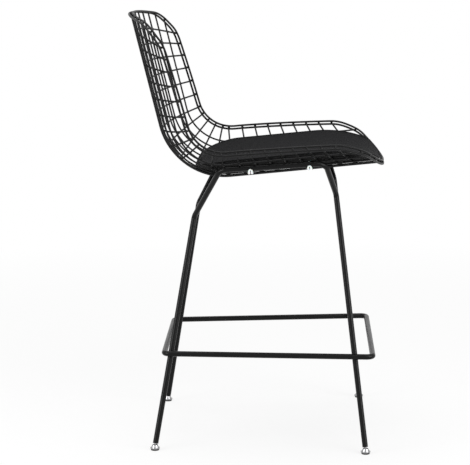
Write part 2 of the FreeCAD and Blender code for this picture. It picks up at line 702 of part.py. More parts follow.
HALF_CLIP = 0.5 * G["clip_length"]
HALF_WIDE = HALF_LEG + G["clip_wall"]
HALF_ARM = 0.5 * G["clip_arm"]
CLIP_FLOOR = -HALF_LEG - G["clip_drop"]
ARCH_CENTRE = G["clip_lip"] - HALF_CLIP
SCREW_DOWN = -HALF_LEG - FIT - 0.5 * (G["clip_drop"] - FIT)
HOOKED = (math.floor(G["rail_half"] / G["long_pitch"] + 0.5) - 0.5) * G["long_pitch"]
HOOKED_FROM = add2(BEND_TO, OFF_SEAT, height(HOOKED, LONG_LIFT))
wire_way = Vec(0, ALONG_SEAT[0], ALONG_SEAT[1])
across = Vec(1, 0, 0)
upward = RAIL_WAY.cross(across)
through = "sizes.clip_length + %g" % (2.0 * CUT_PAST)
clips, screws, nuts = [], [], []
for side, sign in SIDES:
    for number in CLIP_AFTER:
        tag = "%s_%d" % (side, number)
        behind = cross_spot(number, G["rail_half"])[0]
        before = cross_spot(number + 1, G["rail_half"])[0]
        rail_at = mirrored(rail_spot(behind.y + CLIP_SHARE * (before.y - behind.y)), sign)
        frame = FreeCAD.Placement(rail_at, FreeCAD.Rotation(RAIL_WAY, across, upward, "ZXY"))
        wire_from = Vec(sign * HOOKED, HOOKED_FROM[0], HOOKED_FROM[1])
        run = rail_at.sub(wire_from).dot(RAIL_WAY) / wire_way.dot(RAIL_WAY)
        wire_at = wire_from.add(wire_way * run)
        strap = wire_at.sub(rail_at)
        strap_way = Vec(strap).normalize()

        body = block(tag + "_clip_body", "sizes.clip_length", "sizes.leg_rod + 2 * sizes.clip_wall",
                     "sizes.leg_rod / 2 + sizes.clip_drop + sizes.clip_lip - sizes.clip_length / 2",
                     frame, Vec(-HALF_CLIP, -HALF_WIDE, CLIP_FLOOR))
        arch = cylinder(tag + "_clip_arch", "sizes.clip_length / 2",
                        "sizes.leg_rod + 2 * sizes.clip_wall",
                        frame.multVec(Vec(0, -HALF_WIDE, ARCH_CENTRE)), across)
        strap_frame = FreeCAD.Placement(rail_at, FreeCAD.Rotation(RAIL_WAY, strap_way, Vec(), "XYZ"))
        arm = block(tag + "_clip_strap", "sizes.clip_arm", "%g" % strap.Length, "sizes.clip_arm",
                    strap_frame, Vec(-HALF_ARM, 0, -HALF_ARM))
        cradle = cylinder(tag + "_clip_cradle", "sizes.clip_arm / 2", "sizes.clip_arm",
                          wire_at.sub(wire_way * HALF_ARM), wire_way)
        hold = cylinder(tag + "_rail_hole", "sizes.leg_rod / 2 + %g" % FIT, through,
                        frame.multVec(Vec(-HALF_CLIP - CUT_PAST, 0, 0)), RAIL_WAY)
        wire_hole = cylinder(tag + "_wire_hole", "sizes.mesh_wire / 2 + %g" % WIRE_FIT, through,
                             wire_at.sub(wire_way * (HALF_CLIP + CUT_PAST)), wire_way)
        open_top = cylinder(tag + "_open_top", "sizes.clip_arm", "sizes.clip_arm",
                            wire_at.add(upward * 0.5 * HALF_MESH), upward)
        slit = block(tag + "_slit", "sizes.clip_slit", "sizes.leg_rod + 4 * sizes.clip_wall",
                     "sizes.clip_drop + sizes.clip_slit + %g" % CUT_PAST, frame,
                     Vec(-0.5 * G["clip_slit"], -HALF_WIDE - G["clip_wall"], CLIP_FLOOR - CUT_PAST))
        screw_hole = cylinder(tag + "_screw_hole", "sizes.screw / 2 + %g" % SLACK, through,
                              frame.multVec(Vec(-HALF_CLIP - CUT_PAST, 0, SCREW_DOWN)), RAIL_WAY)
        tools = fused(tag + "_clip_tools", [hold, wire_hole, open_top, slit, screw_hole])
        clips.append(less(tag + "_clip", fused(tag + "_clip_solid", [body, arch, arm, cradle]), tools))

        head = cylinder(tag + "_screw_head", "sizes.screw * %g" % HEAD_RADIUS,
                        "sizes.screw * %g" % HEAD_HEIGHT,
                        frame.multVec(Vec(HALF_CLIP + TOUCH, 0, SCREW_DOWN)), RAIL_WAY)
        stalk = cylinder(tag + "_screw_stalk", "sizes.screw / 2",
                         "sizes.clip_length + sizes.screw * %g" % STALK_PAST,
                         frame.multVec(Vec(HALF_CLIP + 0.5 * INTO, 0, SCREW_DOWN)), RAIL_WAY * -1.0)
        screws.append(fused(tag + "_screw", [head, stalk]))
        hexagon = doc.addObject("Part::Prism", tag + "_nut_hexagon")
        hexagon.Polygon = 6
        hexagon.setExpression("Circumradius", "sizes.screw")
        hexagon.setExpression("Height", "sizes.screw * %g" % NUT_HEIGHT)
        hexagon.Placement = FreeCAD.Placement(frame.multVec(Vec(-HALF_CLIP - TOUCH, 0, SCREW_DOWN)),
                                              turned_to(RAIL_WAY * -1.0))
        thread = cylinder(tag + "_nut_thread", "sizes.screw / 2 + %g" % CLOSE_FIT, "sizes.screw * 2",
                          frame.multVec(Vec(-HALF_CLIP + CUT_PAST, 0, SCREW_DOWN)), RAIL_WAY * -1.0)
        nuts.append(less(tag + "_nut", hexagon, thread))
grouped("seat_clips", clips)
grouped("clip_screws", screws)
grouped("clip_nuts", nuts)


# Seat pad: a crowned cushion bent to the shell, closing to a rounded seam all round.

PAD_BASE = CROSS_LIFT + HALF_MESH + G["pad_gap"]
PAD_FROM = G["pad_rear"]
PAD_TO = S_END - G["pad_inset"]
PAD_ROWS = (0.0, 0.012, 0.04, 0.08, 0.125, 0.17, 0.217, 0.265, 0.35, 0.47, 0.6, 0.73, 0.84, 0.92,
            0.965, 0.99, 1.0)
PAD_POINTS = 14
PAD_ENDS = (0.004, 0.995)
PAD_SEAM = 0.4 * G["pad_edge"]
REAR_FLAT, FRONT_FLAT = 0.3, 0.4
REAR_POWER = 2.4
ACROSS_POWER, ALONG_POWER = 5, 14


def pad_half(share):
    """Half width of the pad's seam; share runs from 0 at the rear edge to 1 at the front."""
    rear_left = 1.0 - min(share / G["pad_rear_round"], 1.0)
    front_left = 1.0 - min((1.0 - share) / G["pad_front_round"], 1.0)
    rear = (1.0 - rear_left ** REAR_POWER) ** (1.0 / REAR_POWER)
    front = math.sqrt(1.0 - front_left ** 2)
    along_rim = side_x(PAD_FROM + (PAD_TO - PAD_FROM) * share, G["pad_inset"], ARCS)
    return min(G["pad_half"] * (REAR_FLAT + (1.0 - REAR_FLAT) * rear),
               G["pad_half"] * (FRONT_FLAT + (1.0 - FRONT_FLAT) * front), along_rim)


def pad_swell(u, share):
    """Thickness share: full over the middle, drawn in to the seam at every edge."""
    over_width = math.sqrt(1.0 - abs(u) ** ACROSS_POWER)
    over_length = math.sqrt(1.0 - abs(2.0 * share - 1.0) ** ALONG_POWER)
    return over_width * over_length


sections = []
for row, share in enumerate(PAD_ROWS):
    inset = PAD_ENDS[0] + (PAD_ENDS[1] - PAD_ENDS[0]) * share
    s = PAD_FROM + (PAD_TO - PAD_FROM) * inset
    half = pad_half(inset)
    lower, upper = [], []
    for k in range(PAD_POINTS + 1):
        u = -math.cos(math.pi * k / PAD_POINTS)
        swell = pad_swell(u, inset)
        rise = (1.0 - u * u) * math.sin(math.pi * inset)
        crown = G["pad_edge"] + (G["pad_thick"] - G["pad_edge"]) * rise
        seam = PAD_BASE + PAD_SEAM
        low = seam - PAD_SEAM * swell
        high = seam + (crown - PAD_SEAM) * swell
        lower.append(spot(s, half * u, low))
        upper.append(spot(s, half * u, high))
    under, over = Part.BSplineCurve(), Part.BSplineCurve()
    under.interpolate(lower)
    over.interpolate(upper[::-1])
    outline = doc.addObject("Part::Feature", "pad_section_%02d" % (row + 1))
    outline.Shape = Part.Wire([under.toShape(), over.toShape()])
    sections.append(outline)
loft = doc.addObject("Part::Loft", "seat_pad")
loft.Sections = sections
loft.Solid = True
loft.Ruled = False
loft.Closed = False
keep(loft, "seat_pad")


# Checks and files.

doc.recompute()
problems = [o.Name for o in doc.Objects if "Invalid" in o.State or "Error" in o.State]
problems += [o.Label for o in finished if o.Shape.isNull() or not o.Shape.isValid()]
problems += [o.Label for o in finished if not o.Shape.Solids or o.Shape.Volume <= 0]
if problems:
    raise RuntimeError("sub-parts not sound: " + ", ".join(problems))

os.makedirs("parts", exist_ok=True)
for obj in finished:
    obj.Shape.exportStep("parts/%s.step" % obj.Label)
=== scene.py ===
"""Wire bar stool: coats, weld beads, seat pad, studio and camera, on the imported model's frame.

Metres. +Z is up, the floor is Z = 0 and the front of the seat is toward -Y. The shell is one swept
surface: a middle line (straight back, round bend, straight seat) carries the same round cross profile
all along. A place on it is (s, x, lift): length along the middle line from the top of the back, offset
from the middle plane, and height over the surface toward the sitter.
"""
import json
import math

import bmesh
import bpy
import numpy as np
from mathutils import Matrix, Vector


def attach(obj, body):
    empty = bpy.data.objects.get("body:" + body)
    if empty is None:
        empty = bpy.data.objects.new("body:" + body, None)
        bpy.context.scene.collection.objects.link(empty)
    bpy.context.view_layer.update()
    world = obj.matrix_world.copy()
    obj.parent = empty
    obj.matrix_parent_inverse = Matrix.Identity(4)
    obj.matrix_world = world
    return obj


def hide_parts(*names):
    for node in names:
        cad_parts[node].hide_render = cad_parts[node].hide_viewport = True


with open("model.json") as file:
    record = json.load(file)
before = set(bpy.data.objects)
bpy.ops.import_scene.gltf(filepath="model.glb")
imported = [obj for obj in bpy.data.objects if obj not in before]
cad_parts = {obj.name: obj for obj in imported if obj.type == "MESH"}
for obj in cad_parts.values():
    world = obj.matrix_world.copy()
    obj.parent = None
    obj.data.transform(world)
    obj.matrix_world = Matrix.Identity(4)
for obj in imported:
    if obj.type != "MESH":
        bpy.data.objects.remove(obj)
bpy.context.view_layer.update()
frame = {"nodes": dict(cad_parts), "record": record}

# The shell's driving sizes, the same as in the part's source.
BACK_LEAN = math.radians(13.5)
SEAT_RISE = math.radians(5.1)
BEND_RADIUS = 0.156
CORNER = np.array([0.1928, 0.5954])
BACK_LENGTH = 0.4005
SEAT_LENGTH = 0.4875
PROFILE_RADIUS = 0.475
MESH_WIRE = 0.0040
RIM_WIRE = 0.0048
WELD_GAP = 0.0001
LONG_WIRES = 14
LONG_PITCH = 0.0330
CROSS_WIRES = 20
CROSS_FIRST, CROSS_BACK, CROSS_BEND, CROSS_LAST = 0.0400, 0.0392, 0.0414, 0.0600
CROSS_BACK_LAST, CROSS_BEND_LAST = 7, 13
FAN_TOP, FAN_TOP_EASE = math.radians(33.0), 2.8
FAN_FRONT = math.radians(36.0)
CROSS_LIFT = 0.5 * (MESH_WIRE + WELD_GAP)
LONG_LIFT = -CROSS_LIFT
END_PAST = 0.3 * RIM_WIRE

# The middle line's two straights, their sitter-side normals, and the bend between them, in (Y, Z).
DOWN_BACK = np.array([-math.sin(BACK_LEAN), -math.cos(BACK_LEAN)])
OFF_BACK = np.array([-math.cos(BACK_LEAN), math.sin(BACK_LEAN)])
ALONG_SEAT = np.array([-math.cos(SEAT_RISE), math.sin(SEAT_RISE)])
OFF_SEAT = np.array([math.sin(SEAT_RISE), math.cos(SEAT_RISE)])
TURN = 0.5 * math.pi - BACK_LEAN + SEAT_RISE
TANGENT = BEND_RADIUS * math.tan(0.5 * TURN)
BEND_FROM = CORNER - TANGENT * DOWN_BACK
BEND_TO = CORNER + TANGENT * ALONG_SEAT
BEND_CENTRE = BEND_FROM + BEND_RADIUS * OFF_BACK
S_BEND = BACK_LENGTH - TANGENT
S_SEAT = S_BEND + BEND_RADIUS * TURN
S_END = S_SEAT + SEAT_LENGTH - TANGENT

# A short step on the surface, the search for where a cross wire meets it, and the least length divided by.
SHORT_STEP = 0.001
SEARCH_PAST, SEARCH_REACH, SEARCH_STEPS = 0.010, 2.2, 40
TINY = 1e-9

# The legs, where the footrest ring is welded to them.
LEG_ROD = 0.0127
BALL_HEIGHT = 0.00885
RING_HEIGHT = 0.217
LEG_FEET = np.array([[0.219, 0.2347, BALL_HEIGHT], [0.251, -0.245, BALL_HEIGHT]])
LEG_WAISTS = np.array([[0.096, 0.144, 0.522], [0.120, -0.1816, 0.575]])

# Weld beads: half sizes along, across and off the surface, and the globe that they are stretched from.
CROSSING_BEAD = np.array([0.0026, 0.0026, 0.0017])
RIM_BEAD = np.array([0.0027, 0.0027, 0.0013])
RING_BEAD = np.array([0.0066, 0.0056, 0.0030])
RING_BEAD_OUT = 0.53 * LEG_ROD
BEAD_AROUND, BEAD_RINGS = 10, 4
BEAD_POLE = 0.42

# The seat pad, which lies on the cross wires and follows the front rim.
HALF_WIDTH = 0.2595
WIDEST_AT = 0.422
SIDE_RADIUS = 3.0
FRONT_RADIUS = 0.510
FRONT_CORNER = 0.092
PAD_REAR = 0.3955
PAD_INSET = 0.003
PAD_HALF = 0.209
PAD_REAR_ROUND, PAD_REAR_FLAT, PAD_REAR_POWER = 0.26, 0.3, 2.4
PAD_FRONT_ROUND, PAD_FRONT_FLAT = 0.34, 0.4
PAD_ENDS = (0.004, 0.995)
PAD_THICK = 0.019
PAD_EDGE = 0.011
PAD_CLEAR = 0.0007
PAD_LIFT = CROSS_LIFT + 0.5 * MESH_WIRE + PAD_CLEAR
PAD_SEAM = PAD_LIFT + 0.4 * PAD_EDGE
PAD_ACROSS_POWER, PAD_ALONG_POWER = 5, 14

# The pad's painted shade below its seam, a darker tone that stands in for the shadow on the pad's sides and
# underside: its share of the face's tone, and the height over which they blend.
PAD_PAINTED_SHADE = 0.2
PAD_SHADE_BLEND = 0.002

# The pad's grid: its points, how far rows gather at the ends, and the evenly spaced share across.
PAD_ROWS, PAD_COLUMNS = 84, 56
PAD_GATHER = 0.04
PAD_EVEN = 0.35
PAD_MERGE = 0.00001

# The pad as cloth: its depth before it is blown up, what is held, and how far it may swell.
PAD_FILL = 0.82
PAD_HELD = 0.0012
PAD_SEAM_FROM = 0.99
PAD_TRAVEL = 0.005
CLOTH_FRAMES = 20
CLOTH = {
    "quality": 6,
    "mass": 0.25,
    "tension_stiffness": 14.0,
    "compression_stiffness": 10.0,
    "shear_stiffness": 8.0,
    "bending_stiffness": 0.8,
    "use_pressure": True,
    "uniform_pressure_force": 4.0,
}

# The pad's welt: its radius, the sides of its tube, and its points on a long side and on an end.
WELT_RADIUS = 0.0017
WELT_SIDES = 10
WELT_POINTS, WELT_END_POINTS = 120, 12

# The photograph's camera: where it stands and how it is turned.
CAMERA_PLACE = Vector((-4.41, -0.099, 1.230))
CAMERA_PITCH = math.radians(9.82)
CAMERA_YAW = math.radians(1.99)
CAMERA_ROLL = math.radians(-0.60)
CAMERA_SENSOR = 36.0
CAMERA_LENS = 145.5
CAMERA_FAR = 60.0

# Lamps (name, place, side of the square, watts), the point they face, and the light of the surroundings.
LAMPS = [
    ("key_box", (-2.2, -1.6, 3.0), 1.6, 36.0),
    ("top_box", (0.3, 0.2, 3.4), 2.2, 46.0),
    ("rear_box", (-1.9, 2.7, 1.5), 1.8, 64.0),
    ("front_box", (-1.9, -2.8, 1.35), 1.8, 66.0),
]
LAMP_AIM = Vector((0.0, 0.0, 0.55))
WORLD_LIGHT = 0.32

# The floor: half its side, and its share of white near the stool, which grows to 1 over FLOOR_FADE.
FLOOR_HALF = 9.0
FLOOR_WHITE = 0.80
FLOOR_NEAR, FLOOR_FADE = 0.7, 1.8


# Shader expressions.

class Value:
    """A node's output. Python's operators on it add Math nodes to its finish."""

    def __init__(self, finish, socket):
        self.finish = finish
        self.socket = socket

    def __add__(self, other):
        return self.finish.math("ADD", self, other)

    def __sub__(self, other):
        return self.finish.math("SUBTRACT", self, other)

    def __mul__(self, other):
        return self.finish.math("MULTIPLY", self, other)

    def __truediv__(self, other):
        return self.finish.math("DIVIDE", self, other)

    def __pow__(self, other):
        return self.finish.math("POWER", self, other)

    def __rsub__(self, other):
        return self.finish.math("SUBTRACT", other, self)

    __radd__ = __add__
    __rmul__ = __mul__


class Finish:
    """A material or a world being made. node() adds any node; the other methods are short forms of it."""

    def __init__(self, name, store=bpy.data.materials):
        self.made = store.new(name)
        self.made.use_nodes = True
        self.tree = self.made.node_tree
        self.tree.nodes.clear()

    def node(self, kind, settings, inputs, output=0):
        """One output of a new node of this kind, with its settings and its sockets set."""
        made = self.tree.nodes.new(kind)
        for key, value in settings.items():
            setattr(made, key, value)
        for key, value in inputs.items():
            if isinstance(value, Value):
                self.tree.links.new(value.socket, made.inputs[key])
            else:
                made.inputs[key].default_value = value
        return Value(self, made.outputs[output]) if made.outputs else None

    def math(self, operation, first, second):
        return self.node("ShaderNodeMath", {"operation": operation}, {0: first, 1: second})

    def clamped(self, value):
        return self.node("ShaderNodeClamp", {}, {"Value": value})

    def mix(self, share, first, second):
        """Colour between first and second."""
        return self.node("ShaderNodeMix", {"data_type": "RGBA"}, {0: share, 6: first, 7: second}, 2)

    def place(self):
        return self.node("ShaderNodeTexCoord", {}, {}, "Object")

    def over_seat(self):
        """Height over the shell at the seat: R - sqrt(x^2 + (R - rise)^2), with the rise over the middle
        line from the bend's centre, B - sqrt(min(a, 0)^2 + d^2), at a along the seat and d below it."""
        x, y, z = [self.node("ShaderNodeSeparateXYZ", {}, {0: self.place()}, axis) for axis in "XYZ"]
        y, z = y - BEND_CENTRE[0], z - BEND_CENTRE[1]
        back = self.math("MINIMUM", y * ALONG_SEAT[0] + z * ALONG_SEAT[1], 0.0)
        below = y * OFF_SEAT[0] + z * OFF_SEAT[1]
        depth = (PROFILE_RADIUS - BEND_RADIUS) + (back * back + below * below) ** 0.5
        return PROFILE_RADIUS - (x * x + depth * depth) ** 0.5

    def noise(self, scale, detail, stretch=None):
        """Noise from 0 to 1 on Object coordinates; scale is in cells per metre."""
        place = self.place()
        if stretch:
            place = self.node("ShaderNodeMapping", {}, {"Vector": place, "Scale": stretch})
        return self.node("ShaderNodeTexNoise", {},
                         {"Vector": place, "Scale": scale, "Detail": detail}, "Fac")

    def cells(self, scale):
        """Distance to the edges of pebble-like cells; scale is in cells per metre."""
        return self.node("ShaderNodeTexVoronoi", {"feature": "DISTANCE_TO_EDGE"},
                         {"Vector": self.place(), "Scale": scale}, "Distance")

    def bump(self, height, strength, depth):
        return self.node("ShaderNodeBump", {}, {"Height": height, "Strength": strength, "Distance": depth})

    def shade(self, **sockets):
        """Finish the material with one principled shader; names are its sockets, with _ for spaces."""
        inputs = {key.replace("_", " "): value for key, value in sockets.items()}
        shader = self.node("ShaderNodeBsdfPrincipled", {}, inputs)
        self.node("ShaderNodeOutputMaterial", {}, {"Surface": shader})
        return self.made

    def backdrop(self):
        """1 on the rays that show a background: from the camera, off a gloss or through glass."""
        rays = [self.node("ShaderNodeLightPath", {}, {}, kind)
                for kind in ("Is Camera Ray", "Is Glossy Ray", "Is Transmission Ray")]
        return self.math("MAXIMUM", self.math("MAXIMUM", rays[0], rays[1]), rays[2])


def grey(level, blue=0.0):
    """A grey whose blue is raised by a share of it."""
    return (level, level, level * (1.0 + blue), 1.0)


def powder_coat(name, tone, roughness):
    """Black satin powder coat: an orange-peel skin, a faint cloudy tone and patchy gloss."""
    coat = Finish(name)
    peel = coat.noise(850.0, 2.0)
    dust = coat.noise(4200.0, 1.0)
    cloud = coat.noise(22.0, 3.0)
    colour = coat.mix(cloud, grey(tone * 0.75, 0.04), grey(tone * 1.45, 0.06))
    rough = roughness - 0.05 + 0.12 * cloud + 0.06 * dust
    skin = coat.bump(peel + 0.25 * dust, 0.22, 0.00035)
    return coat.shade(Base_Color=colour, Roughness=rough, Normal=skin, Specular_IOR_Level=0.14)


def weld_glint_coat(name, tone):
    """The same coat over a weld bead, but lighter in tone as a painted glint: rippled and shinier on its
    crown.
    """
    coat = Finish(name)
    ripple = coat.noise(650.0, 2.0)
    pit = coat.noise(2600.0, 2.0)
    colour = coat.mix(pit, grey(tone * 0.8), grey(tone * 1.8))
    skin = coat.bump(ripple + 0.4 * pit, 0.5, 0.0006)
    return coat.shade(Base_Color=colour, Roughness=0.20 + 0.16 * ripple, Normal=skin,
                      Specular_IOR_Level=0.2)


def leatherette(name, tone):
    """Matte black leatherette: pebbled grain, fine pores, creased tone and slightly polished crowns.

    Below the pad's seam it turns to a much darker tone, a painted shade for the shadow on the pad's sides and
    underside."""
    hide = Finish(name)
    pebble = hide.cells(620.0)
    small = hide.cells(1500.0)
    pore = hide.noise(5200.0, 1.0)
    wear = hide.noise(9.0, 3.0)
    valley = hide.clamped(pebble * 5.0)
    grain = valley + 0.35 * hide.clamped(small * 6.0) + 0.12 * pore
    face = hide.mix(valley * (0.55 + 0.45 * wear), grey(tone * 0.55, 0.05), grey(tone * 1.15, 0.05))
    # Painted shade: below the seam the colour drops to a small share of the tone, standing in for the shadow
    # under the pad.
    above = hide.clamped((hide.over_seat() - (PAD_SEAM - PAD_SHADE_BLEND)) / PAD_SHADE_BLEND)
    colour = hide.mix(above, grey(tone * PAD_PAINTED_SHADE), face)
    rough = 0.62 - 0.10 * valley + 0.10 * wear
    skin = hide.bump(grain, 0.28, 0.0005)
    return hide.shade(Base_Color=colour, Roughness=rough, Normal=skin, Specular_IOR_Level=0.025)


def plated(name, tone, roughness):
    """Plating: fine turned scratches round the upright axis and a breath of haze."""
    plate = Finish(name)
    scratch = plate.noise(900.0, 3.0, (0.12, 0.12, 3.0))
    haze = plate.noise(160.0, 3.0)
    colour = plate.mix(haze, grey(tone * 0.92, 0.02), grey(tone * 1.04, 0.02))
    return plate.shade(Base_Color=colour, Metallic=1.0, Roughness=roughness + 0.10 * haze + 0.06 * scratch,
                       Normal=plate.bump(scratch, 0.06, 0.0001))


def nylon(name):
    """Natural nylon: milky, with a faint moulded texture."""
    resin = Finish(name)
    mottle = resin.noise(260.0, 2.0)
    grain = resin.noise(1900.0, 1.0)
    colour = resin.mix(mottle, (0.74, 0.74, 0.71, 1.0), (0.88, 0.88, 0.86, 1.0))
    return resin.shade(Base_Color=colour, Roughness=0.36 + 0.12 * grain,
                       Normal=resin.bump(grain, 0.12, 0.0002), Subsurface_Weight=0.15)


def rubber(name):
    """Black rubber: dull and speckled."""
    block = Finish(name)
    speck = block.noise(1400.0, 3.0)
    colour = block.mix(speck, grey(0.008), grey(0.028))
    return block.shade(Base_Color=colour, Roughness=0.75 + 0.15 * speck,
                       Normal=block.bump(speck, 0.25, 0.0004))


FINISHES = {
    "shell_coat": powder_coat("shell_coat", 0.0035, 0.40),
    "frame_coat": powder_coat("frame_coat", 0.0030, 0.25),
    "leatherette": leatherette("leatherette", 0.0148),
    "chrome": plated("chrome", 0.34, 0.12),
    "steel": plated("zinc_plate", 0.30, 0.26),
    "nylon": nylon("nylon"),
    "glide_rubber": rubber("glide_rubber"),
}
# The beads' tone is twice the shell coat's: a painted glint on the welds.
WELD = weld_glint_coat("weld_glint_coat", 0.007)

for entry in frame["record"]["subparts"]:
    mesh = frame["nodes"][entry["node"]].data
    mesh.materials.clear()
    mesh.materials.append(FINISHES[entry["material_slot"]])


# The shell's surface, for whole arrays of places at once.

def middle_line(s):
    """Point, direction and normal of the middle line in (Y, Z): two straights joined by an arc.

    The angle turned is (s - S_BEND) / BEND_RADIUS, kept between 0 and TURN. The point is the arc's
    point at that angle, moved along the direction by what is left of s."""
    s = np.asarray(s, float)[..., None]
    angle = np.clip((s - S_BEND) / BEND_RADIUS, 0.0, TURN)
    along = np.cos(angle) * DOWN_BACK + np.sin(angle) * OFF_BACK
    off = np.cos(angle) * OFF_BACK - np.sin(angle) * DOWN_BACK
    rest = s - S_BEND - BEND_RADIUS * angle
    return BEND_CENTRE - BEND_RADIUS * off + rest * along, along, off


def shell_point(s, x, lift):
    """Space points over the surface places (s, x): the round profile's point at radius R - lift, whose
    sine is x / R, stood on the middle line at s."""
    s, x, lift = np.broadcast_arrays(np.asarray(s, float), np.asarray(x, float), np.asarray(lift, float))
    sine = x / PROFILE_RADIUS
    radius = PROFILE_RADIUS - lift
    point, along, off = middle_line(s)
    rise = PROFILE_RADIUS - radius * np.sqrt(1.0 - sine * sine)
    section = point + rise[..., None] * off
    return np.concatenate([(radius * sine)[..., None], section], axis=-1)


def line_foot(section):
    """Length s and height over the middle line of (Y, Z) points: the nearest of back, bend and seat."""
    from_back = (section - BEND_FROM) @ DOWN_BACK
    from_seat = (section - BEND_TO) @ ALONG_SEAT
    arm = section - BEND_CENTRE
    angle = np.arctan2(arm @ DOWN_BACK, -(arm @ OFF_BACK))
    s = np.where(from_back <= 0.0, S_BEND + from_back,
                 np.where(from_seat >= 0.0, S_SEAT + from_seat, S_BEND + BEND_RADIUS * angle))
    point, along, off = middle_line(s)
    return s, ((section - point) * off).sum(-1)


def shell_place(points):
    """The reverse of shell_point: (s, x, lift) of space points beside the shell."""
    s, rise = line_foot(points[..., 1:])
    radius = np.hypot(points[..., 0], PROFILE_RADIUS - rise)
    return s, points[..., 0] / radius * PROFILE_RADIUS, PROFILE_RADIUS - radius


def shell_normal(s, x):
    """The surface's normal toward the sitter: a short step off it, over the step's length."""
    return (shell_point(s, x, SHORT_STEP) - shell_point(s, x, 0.0)) / SHORT_STEP


def shell_ahead(s, x):
    """A short step on the surface, along the middle line."""
    return shell_point(s + SHORT_STEP, x, 0.0) - shell_point(s, x, 0.0)


def unit(vectors):
    return vectors / np.linalg.norm(vectors, axis=-1, keepdims=True)


# Meshes from grids.

def mesh_points(mesh):
    points = np.empty(3 * len(mesh.vertices))
    mesh.vertices.foreach_get("co", points)
    return points.reshape(-1, 3)


def add_piece(name, points, faces, material, body):
    """A smooth mesh piece that rides on a body and takes the finish it is given."""
    mesh = bpy.data.meshes.new(name)
    mesh.from_pydata(points.reshape(-1, 3).tolist(), [], faces)
    mesh.materials.append(material)
    mesh.polygons.foreach_set("use_smooth", np.full(len(mesh.polygons), True))
    mesh.update()
    piece = bpy.data.objects.new(name, mesh)
    bpy.context.scene.collection.objects.link(piece)
    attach(piece, body)
    return piece


def grid_faces(rows, columns, close_rows=False, close_columns=False):
    """Quads of a grid of points numbered row by row; a closed direction joins its last line to its first."""
    row = np.arange(rows if close_rows else rows - 1)[:, None]
    column = np.arange(columns if close_columns else columns - 1)[None, :]
    below = (row + 1) % rows
    right = (column + 1) % columns
    quads = [row * columns + column, row * columns + right,
             below * columns + right, below * columns + column]
    return np.stack(np.broadcast_arrays(*quads), axis=-1).reshape(-1, 4)


def tube(path, radius, sides):
    """Points of a closed round tube: a circle carried along the loop "path", in rings of "sides".

    Each ring is path + radius (cos(a) n + sin(a) b), with n the shell's normal squared to the path's
    direction and b the cross product of the direction and n."""
    ahead = unit(np.roll(path, -1, axis=0) - np.roll(path, 1, axis=0))
    s, x, lift = shell_place(path)
    normal = shell_normal(s, x)
    normal = unit(normal - (normal * ahead).sum(-1, keepdims=True) * ahead)
    side = np.cross(ahead, normal)
    angle = np.arange(sides)[None, :, None] * 2.0 * math.pi / sides
    return path[:, None, :] + radius * (np.cos(angle) * normal[:, None, :] + np.sin(angle) * side[:, None, :])


# Weld beads: at every wire crossing, at every wire end between the rims, and on the footrest ring.

def bead_globe():
    """Points and faces of a unit globe: (cos v cos u, cos v sin u, sin v), flat at its two poles."""
    u = np.arange(BEAD_AROUND) * 2.0 * math.pi / BEAD_AROUND
    v = np.linspace(-BEAD_POLE, BEAD_POLE, BEAD_RINGS)[:, None] * math.pi
    points = np.stack(np.broadcast_arrays(np.cos(v) * np.cos(u), np.cos(v) * np.sin(u), np.sin(v)), axis=-1)
    count = BEAD_RINGS * BEAD_AROUND
    caps = [list(range(BEAD_AROUND))[::-1], list(range(count - BEAD_AROUND, count))]
    faces = grid_faces(BEAD_RINGS, BEAD_AROUND, close_columns=True).tolist()
    return points.reshape(-1, 3), faces + caps


def add_beads(name, centres, along, normals, radii):
    """Flattened eggs: each centre plus the globe stretched by "radii" on (along, across, normal)."""
    globe, faces = bead_globe()
    along = unit(along - (along * normals).sum(-1, keepdims=True) * normals)
    axes = np.stack([along, np.cross(normals, along), normals], axis=-2)
    points = centres[:, None, :] + np.einsum("pk,nkc->npc", globe * radii, axes)
    every = [[index + bead * len(globe) for index in face]
             for bead in range(len(centres)) for face in faces]
    add_piece(name, points, every, WELD, "stool_frame")


def cross_places(x):
    """Length s of every cross wire (rows) where it passes the offsets x (columns).

    A cross wire is the surface's section by a plane through the middle line, tilted from the line's
    normal by the fan's angle; halving finds how far along the tilted normal the surface lies."""
    number = np.arange(1, CROSS_WIRES + 1)
    bend_last = (CROSS_FIRST + (CROSS_BACK_LAST - 1) * CROSS_BACK
                 + (CROSS_BEND_LAST - CROSS_BACK_LAST) * CROSS_BEND)
    pitch = (S_END - CROSS_LAST - bend_last) / (CROSS_WIRES - CROSS_BEND_LAST)
    centre = (CROSS_FIRST + (np.minimum(number, CROSS_BACK_LAST) - 1) * CROSS_BACK
              + np.clip(number - CROSS_BACK_LAST, 0, CROSS_BEND_LAST - CROSS_BACK_LAST) * CROSS_BEND
              + np.maximum(number - CROSS_BEND_LAST, 0) * pitch)
    share = 1.0 - 2.0 * (number - 1) / (CROSS_WIRES - 1)
    tilt = np.where(share > 0.0, FAN_TOP * np.abs(share) ** FAN_TOP_EASE, FAN_FRONT * share)[:, None]
    point, along, off = middle_line(centre)
    way = np.cos(tilt) * off + np.sin(tilt) * along
    goal = np.broadcast_to(PROFILE_RADIUS - np.sqrt(PROFILE_RADIUS ** 2 - x * x), (CROSS_WIRES, len(x)))
    low = np.full(goal.shape, -SEARCH_PAST)
    high = SEARCH_REACH * goal + SEARCH_PAST
    for step in range(SEARCH_STEPS):
        middle = 0.5 * (low + high)
        s, rise = line_foot(point[:, None, :] + middle[..., None] * way[:, None, :])
        low = np.where(rise < goal, middle, low)
        high = np.where(rise < goal, high, middle)
    return s


def node_places(name):
    """(s, x, lift) of a CAD node's points."""
    return shell_place(mesh_points(frame["nodes"][name].data))


